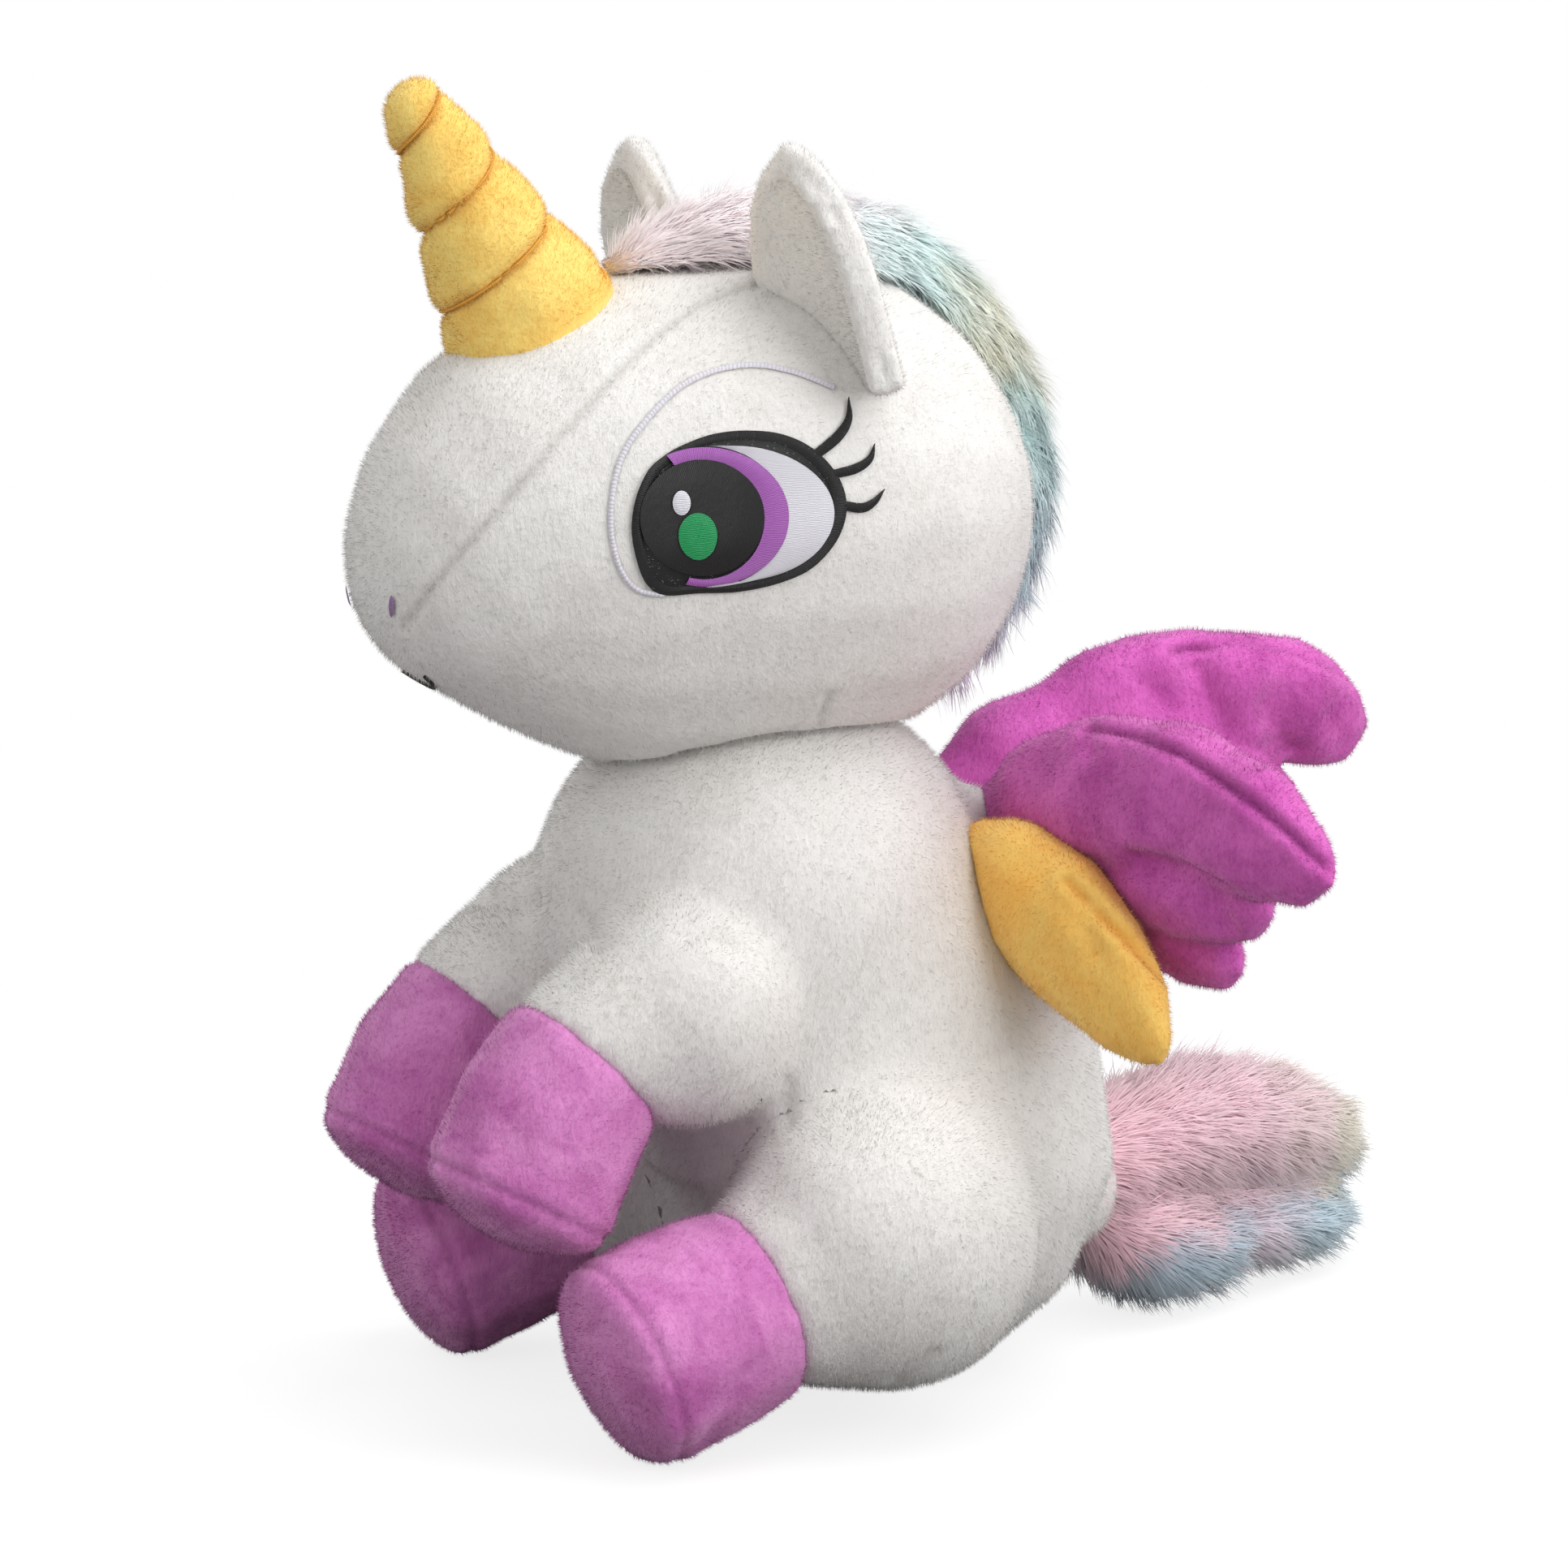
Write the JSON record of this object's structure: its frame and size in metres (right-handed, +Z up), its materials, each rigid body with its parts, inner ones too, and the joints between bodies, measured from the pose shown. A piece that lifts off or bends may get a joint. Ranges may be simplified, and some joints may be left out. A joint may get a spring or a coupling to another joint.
{
  "type": "plush unicorn toy",
  "caption": "Sitting stuffed unicorn with a tiered horn, embroidered eyes, long-pile mane and tail, and sewn-on wings, jointed where its head and limbs flex.",
  "frame": {"origin": "on the floor, in the middle of the flat seat", "axes": "+Z up; the toy faces -Y; its left side is +X"},
  "size_m": [0.2173, 0.2901, 0.2995],
  "materials": {
    "white_plush": "short pile",
    "purple_plush": "short pile",
    "gold_plush": "short pile",
    "long_pile": "long combed pile in pastel bands",
    "fibre_fill": "loose polyester fibre",
    "pellet_bag": "woven bag of pellets",
    "black_thread": "satin stitch",
    "iris_thread": "satin stitch",
    "white_thread": "satin stitch",
    "green_thread": "satin stitch",
    "lilac_thread": "satin stitch",
    "gold_thread": "twisted thread"
  },
  "bodies": {
    "torso": {"body_cover": "white_plush", "body_stuffing": "fibre_fill", "pellet_bag": "pellet_bag"},
    "head": {"head_cover": "white_plush", "head_stuffing": "fibre_fill", "horn_cover": "gold_plush", "horn_stuffing": "fibre_fill", "horn_thread": "gold_thread", "mane": "long_pile", "mouth": "black_thread", "ear_left": "white_plush", "ear_lining_left": "white_plush", "eye_black_left": "black_thread", "eye_white_left": "white_thread", "eye_iris_left": "iris_thread", "eye_glint_left": "white_thread", "eye_spark_left": "green_thread", "brow_left": "lilac_thread", "nostril_left": "iris_thread", "ear_right": "white_plush", "ear_lining_right": "white_plush", "eye_black_right": "black_thread", "eye_white_right": "white_thread", "eye_iris_right": "iris_thread", "eye_glint_right": "white_thread", "eye_spark_right": "green_thread", "brow_right": "lilac_thread", "nostril_right": "iris_thread"},
    "front_leg_left": {"front_leg_left_sleeve": "white_plush", "front_leg_left_hoof": "purple_plush", "front_leg_left_sole": "purple_plush", "front_leg_left_stuffing": "fibre_fill"},
    "front_leg_right": {"front_leg_right_sleeve": "white_plush", "front_leg_right_hoof": "purple_plush", "front_leg_right_sole": "purple_plush", "front_leg_right_stuffing": "fibre_fill"},
    "hind_leg_left": {"hind_leg_left_sleeve": "white_plush", "hind_leg_left_hoof": "purple_plush", "hind_leg_left_sole": "purple_plush", "hind_leg_left_stuffing": "fibre_fill"},
    "hind_leg_right": {"hind_leg_right_sleeve": "white_plush", "hind_leg_right_hoof": "purple_plush", "hind_leg_right_sole": "purple_plush", "hind_leg_right_stuffing": "fibre_fill"},
    "wing_left": {"wing_feathers_left": "purple_plush", "wing_stuffing_left": "fibre_fill", "wing_leaf_left": "gold_plush", "leaf_stuffing_left": "fibre_fill"},
    "wing_right": {"wing_feathers_right": "purple_plush", "wing_stuffing_right": "fibre_fill", "wing_leaf_right": "gold_plush", "leaf_stuffing_right": "fibre_fill"},
    "tail": {"tail": "long_pile"}
  },
  "joints": [
    {"name": "neck_nod", "type": "hinge", "parent": "torso", "child": "head", "pos_m": [0, -0.018, 0.111], "axis": [1, 0, 0], "range_deg": [-8, 15], "stiffness_Nm_per_rad": 2.5},
    {"name": "front_leg_left_raise", "type": "hinge", "parent": "torso", "child": "front_leg_left", "pos_m": [0.029, -0.052, 0.096], "axis": [-1, 0, 0], "range_deg": [0, 22], "stiffness_Nm_per_rad": 0.8},
    {"name": "front_leg_right_raise", "type": "hinge", "parent": "torso", "child": "front_leg_right", "pos_m": [-0.029, -0.052, 0.096], "axis": [-1, 0, 0], "range_deg": [0, 22], "stiffness_Nm_per_rad": 0.8},
    {"name": "hind_leg_left_splay", "type": "hinge", "parent": "torso", "child": "hind_leg_left", "pos_m": [0.049, -0.0125, 0.044], "axis": [0, 0, 1], "range_deg": [0, 22], "stiffness_Nm_per_rad": 0.8},
    {"name": "hind_leg_right_splay", "type": "hinge", "parent": "torso", "child": "hind_leg_right", "pos_m": [-0.049, -0.0125, 0.044], "axis": [0, 0, -1], "range_deg": [-7, 18], "stiffness_Nm_per_rad": 0.8},
    {"name": "wing_left_fold", "type": "hinge", "parent": "torso", "child": "wing_left", "pos_m": [0.014, 0.0337, 0.129], "axis": [0, -0.0872, 0.9962], "range_deg": [0, 62], "stiffness_Nm_per_rad": 0.25},
    {"name": "wing_right_fold", "type": "hinge", "parent": "torso", "child": "wing_right", "pos_m": [-0.014, 0.0337, 0.129], "axis": [0, 0.0872, -0.9962], "range_deg": [-87, 0], "stiffness_Nm_per_rad": 0.25},
    {"name": "tail_swing", "type": "hinge", "parent": "torso", "child": "tail", "pos_m": [0, 0.06355, 0.038], "axis": [0, 0, 1], "range_deg": [-32, 6], "stiffness_Nm_per_rad": 0.4}
  ]
}
